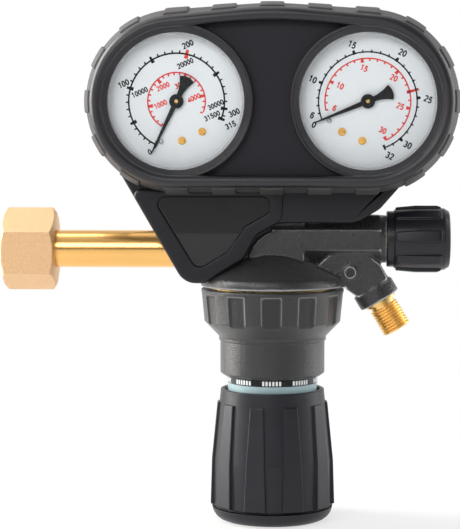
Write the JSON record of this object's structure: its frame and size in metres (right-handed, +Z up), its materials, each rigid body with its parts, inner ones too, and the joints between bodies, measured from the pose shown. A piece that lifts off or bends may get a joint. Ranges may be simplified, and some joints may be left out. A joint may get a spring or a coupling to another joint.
{
  "type": "gas cylinder regulator",
  "caption": "Gas cylinder pressure regulator with a hexagonal inlet nut, twin dial gauges in a lugged cover, an adjusting knob below, an outlet valve knob and an angled threaded outlet.",
  "frame": {"origin": "centre of the inlet stem's sealing face, on the axis of the coupling nut", "axes": "+X runs from the cylinder valve into the regulator, +Z points up to the gauges, -Y faces the reader of the dials"},
  "size_m": [0.2018, 0.068, 0.2304],
  "materials": {
    "nut_brass": "sand-blasted matte",
    "brass": "turned, polished",
    "body_paint": "dark grey hammered powder coat",
    "bonnet_paint": "grey speckled powder coat",
    "cover_rubber": "satin black moulded plastic",
    "cover_back_plastic": "satin black moulded plastic",
    "plate_black": "gloss above, matte below",
    "knob_plastic": "grained black plastic",
    "valve_knob_plastic": "satin black plastic",
    "label_black": "printed",
    "clear_sleeve": "clear plastic with a blue-green edge",
    "lens_clear": "clear",
    "dial_white": "white lacquer with printed scales",
    "pointer_black": "matte black",
    "case_black": "black lacquer",
    "movement_brass": "stamped",
    "tube_bronze": "drawn",
    "steel": "turned",
    "spring_steel": "drawn wire",
    "white_polymer": "moulded",
    "black_rubber": "matte",
    "filter_bronze": "sintered"
  },
  "bodies": {
    "regulator": {"inlet_stem": "brass", "inlet_seal": "white_polymer", "inlet_filter": "filter_bronze", "body": "body_paint", "bore_plug": "steel", "top_plug": "brass", "poppet_seat": "white_polymer", "poppet_spring": "spring_steel", "diaphragm": "black_rubber", "slip_ring": "white_polymer", "bonnet": "bonnet_paint", "main_spring": "spring_steel", "label_ring": "label_black", "ring_sleeve": "clear_sleeve", "valve_gland": "brass", "gland_seal": "black_rubber", "outlet_nipple": "brass", "cover_front": "cover_rubber", "cover_back": "cover_back_plastic", "nameplate": "plate_black", "cover_screws": "steel", "pressure_case": "case_black", "pressure_stem": "brass", "pressure_bourdon_tube": "tube_bronze", "pressure_link": "movement_brass", "pressure_movement": "movement_brass", "pressure_dial": "dial_white", "pressure_dial_screws": "brass", "pressure_lens": "lens_clear", "flow_case": "case_black", "flow_stem": "brass", "flow_bourdon_tube": "tube_bronze", "flow_link": "movement_brass", "flow_movement": "movement_brass", "flow_dial": "dial_white", "flow_dial_screws": "brass", "flow_lens": "lens_clear"},
    "coupling_nut": {"inlet_nut": "nut_brass"},
    "adjusting_knob": {"adjusting_knob": "knob_plastic", "adjusting_screw": "steel", "screw_clip": "steel", "knob_screw": "steel", "knob_cap": "knob_plastic"},
    "spring_button": {"spring_button": "brass"},
    "diaphragm_plate": {"diaphragm_plate": "steel"},
    "poppet": {"poppet": "steel"},
    "valve_plug": {"valve_plug": "white_polymer"},
    "valve_knob": {"valve_knob": "valve_knob_plastic", "valve_spindle": "steel", "valve_knob_cap": "valve_knob_plastic"},
    "pressure_pointer": {"pressure_pointer": "pointer_black", "pressure_pinion": "steel"},
    "pressure_sector": {"pressure_sector": "movement_brass"},
    "flow_pointer": {"flow_pointer": "pointer_black", "flow_pinion": "steel"},
    "flow_sector": {"flow_sector": "movement_brass"}
  },
  "joints": [
    {"name": "inlet_nut_spin", "type": "hinge", "parent": "regulator", "child": "coupling_nut", "pos_m": [0, 0, 0], "axis": [1, 0, 0], "continuous": true},
    {"name": "knob_turn", "type": "hinge", "parent": "regulator", "child": "adjusting_knob", "pos_m": [0.111, 0, -0.09], "axis": [0, 0, 1], "range_deg": [0, 1800]},
    {"name": "button_slide", "type": "slide", "parent": "regulator", "child": "spring_button", "axis": [0, 0, 1], "range_m": [0, 0.00751], "deforming": ["main_spring"]},
    {"name": "diaphragm_lift", "type": "slide", "parent": "regulator", "child": "diaphragm_plate", "axis": [0, 0, 1], "range_m": [0, 0.0008]},
    {"name": "poppet_lift", "type": "slide", "parent": "regulator", "child": "poppet", "axis": [0, 0, 1], "range_m": [0, 0.0008], "deforming": ["poppet_spring"]},
    {"name": "valve_lift", "type": "slide", "parent": "regulator", "child": "valve_plug", "axis": [1, 0, 0], "range_m": [0, 0.00251]},
    {"name": "valve_turn", "type": "hinge", "parent": "valve_plug", "child": "valve_knob", "pos_m": [0.171, 0, 0.0046], "axis": [1, 0, 0], "range_deg": [0, 900]},
    {"name": "pressure_pointer_turn", "type": "hinge", "parent": "regulator", "child": "pressure_pointer", "pos_m": [0.0696, 0, 0.0655], "axis": [0, 1, 0], "range_deg": [0, 265.5], "stiffness_Nm_per_rad": 0.0002, "springref_deg": -28.65},
    {"name": "pressure_sector_swing", "type": "hinge", "parent": "regulator", "child": "pressure_sector", "pos_m": [0.07986, 0, 0.05967], "axis": [0, 1, 0], "range_deg": [-27.5, 0]},
    {"name": "flow_pointer_turn", "type": "hinge", "parent": "regulator", "child": "flow_pointer", "pos_m": [0.1524, 0, 0.0655], "axis": [0, 1, 0], "range_deg": [0, 271.8], "stiffness_Nm_per_rad": 0.0002, "springref_deg": -28.65},
    {"name": "flow_sector_swing", "type": "hinge", "parent": "regulator", "child": "flow_sector", "pos_m": [0.15493, 0, 0.05397], "axis": [0, 1, 0], "range_deg": [-27.5, 0]}
  ],
  "couplings": [
    {"joint": "button_slide", "follows": "knob_turn", "m_per_rad": 0.00023873},
    {"joint": "poppet_lift", "follows": "diaphragm_lift", "ratio": 1},
    {"joint": "valve_lift", "follows": "valve_turn", "m_per_rad": 0.00015915},
    {"joint": "pressure_sector_swing", "follows": "pressure_pointer_turn", "ratio": -0.1},
    {"joint": "flow_sector_swing", "follows": "flow_pointer_turn", "ratio": -0.1}
  ]
}
